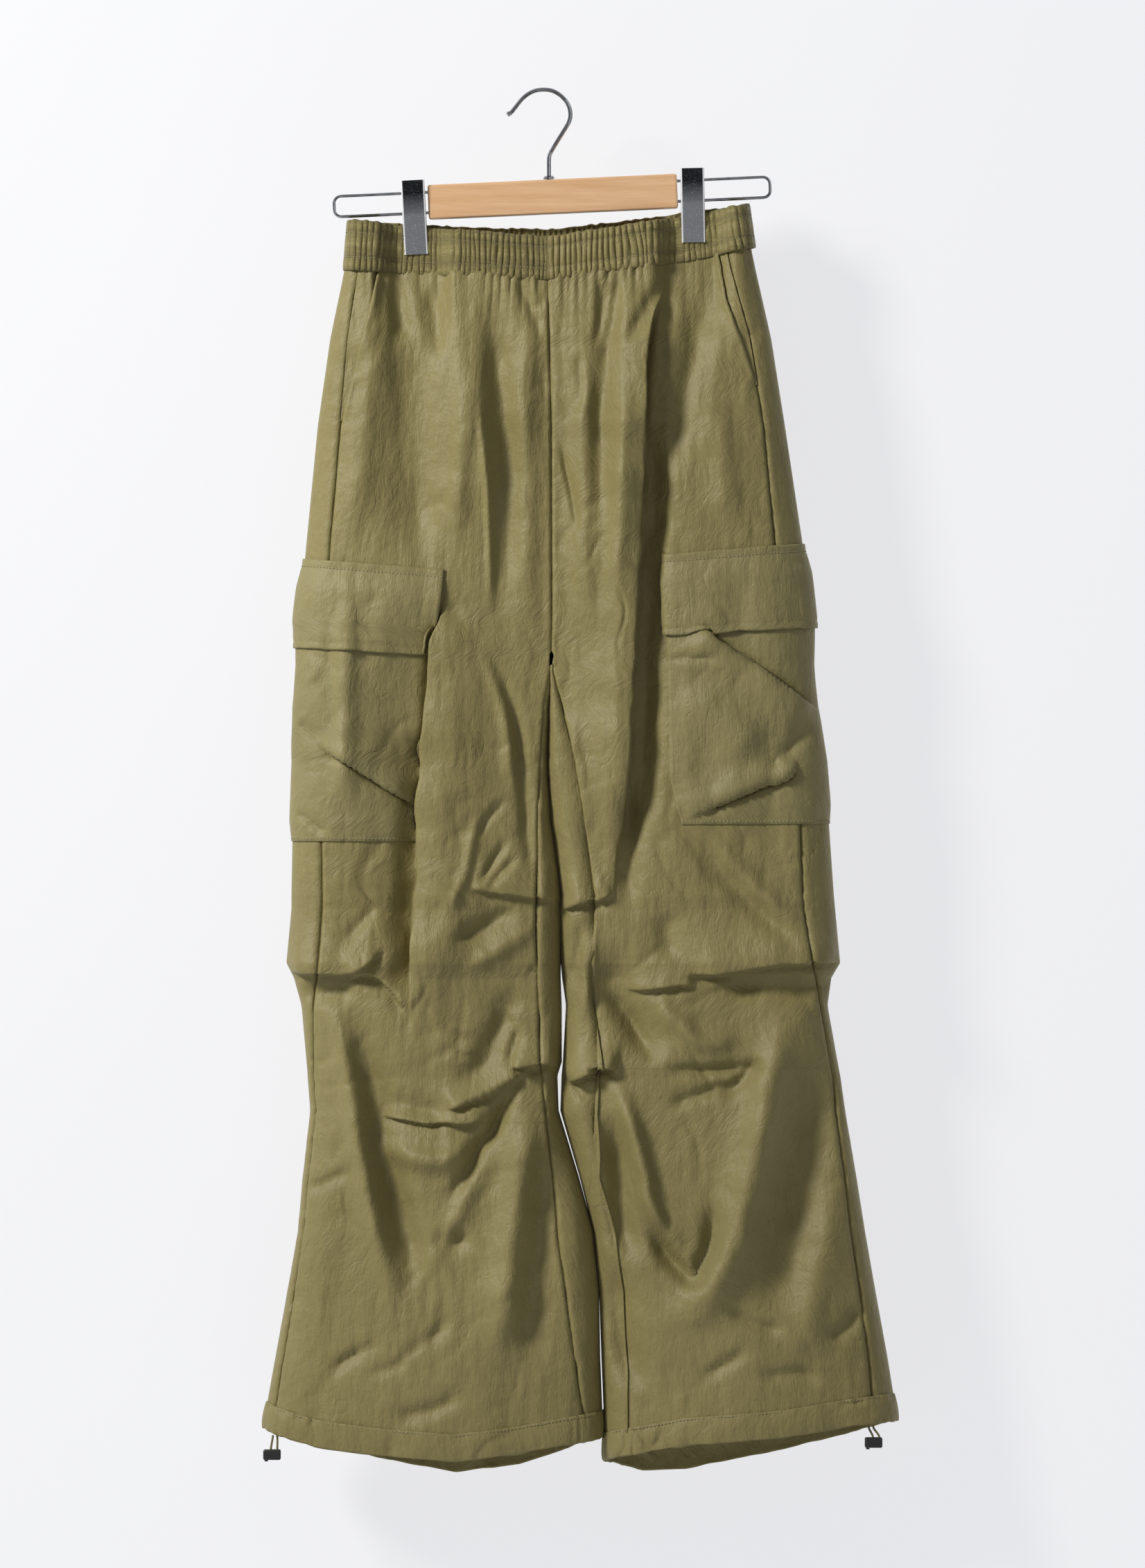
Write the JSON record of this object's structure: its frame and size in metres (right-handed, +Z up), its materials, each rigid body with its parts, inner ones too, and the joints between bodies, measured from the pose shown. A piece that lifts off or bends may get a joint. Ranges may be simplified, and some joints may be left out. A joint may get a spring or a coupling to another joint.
{
  "type": "cargo pants on a clip hanger",
  "caption": "Wide-legged cargo pants in light olive cloth, with an elastic waistband, flapped thigh pockets and drawcord hems, hung flat from a wood and chrome clip hanger.",
  "frame": {"origin": "underside of the hook's wire at its top, where a rail carries the hanger", "axes": "+Z up; +Y from the front of the pants to the back; +X towards the wearer's left leg, which is on the right for somebody who faces the front"},
  "size_m": [0.5031, 0.0889, 1.1081],
  "materials": {
    "cloth": "satin olive nylon and cotton, finely crinkled",
    "cord": "matt olive braided cord",
    "toggle": "moulded black",
    "chrome": "polished",
    "wood": "satin varnish"
  },
  "bodies": {
    "root": {"waistband": "cloth", "front_panel_right": "cloth", "back_panel_right": "cloth", "pocket_facing_right": "cloth", "cargo_pocket_right": "cloth", "cargo_flap_right": "cloth", "hem_casing_right": "cloth", "drawcord_right": "cord", "toggle_right": "toggle", "toggle_button_right": "toggle", "clip_front_right": "chrome", "clip_back_right": "chrome", "clip_pivot_right": "chrome", "hanger_wire_right": "chrome", "front_panel_left": "cloth", "back_panel_left": "cloth", "pocket_facing_left": "cloth", "cargo_pocket_left": "cloth", "cargo_flap_left": "cloth", "hem_casing_left": "cloth", "drawcord_left": "cord", "toggle_left": "toggle", "toggle_button_left": "toggle", "clip_front_left": "chrome", "clip_back_left": "chrome", "clip_pivot_left": "chrome", "hanger_wire_left": "chrome", "hanger_bar": "wood", "hanger_hook": "chrome", "hook_collar": "chrome"}
  },
  "joints": []
}
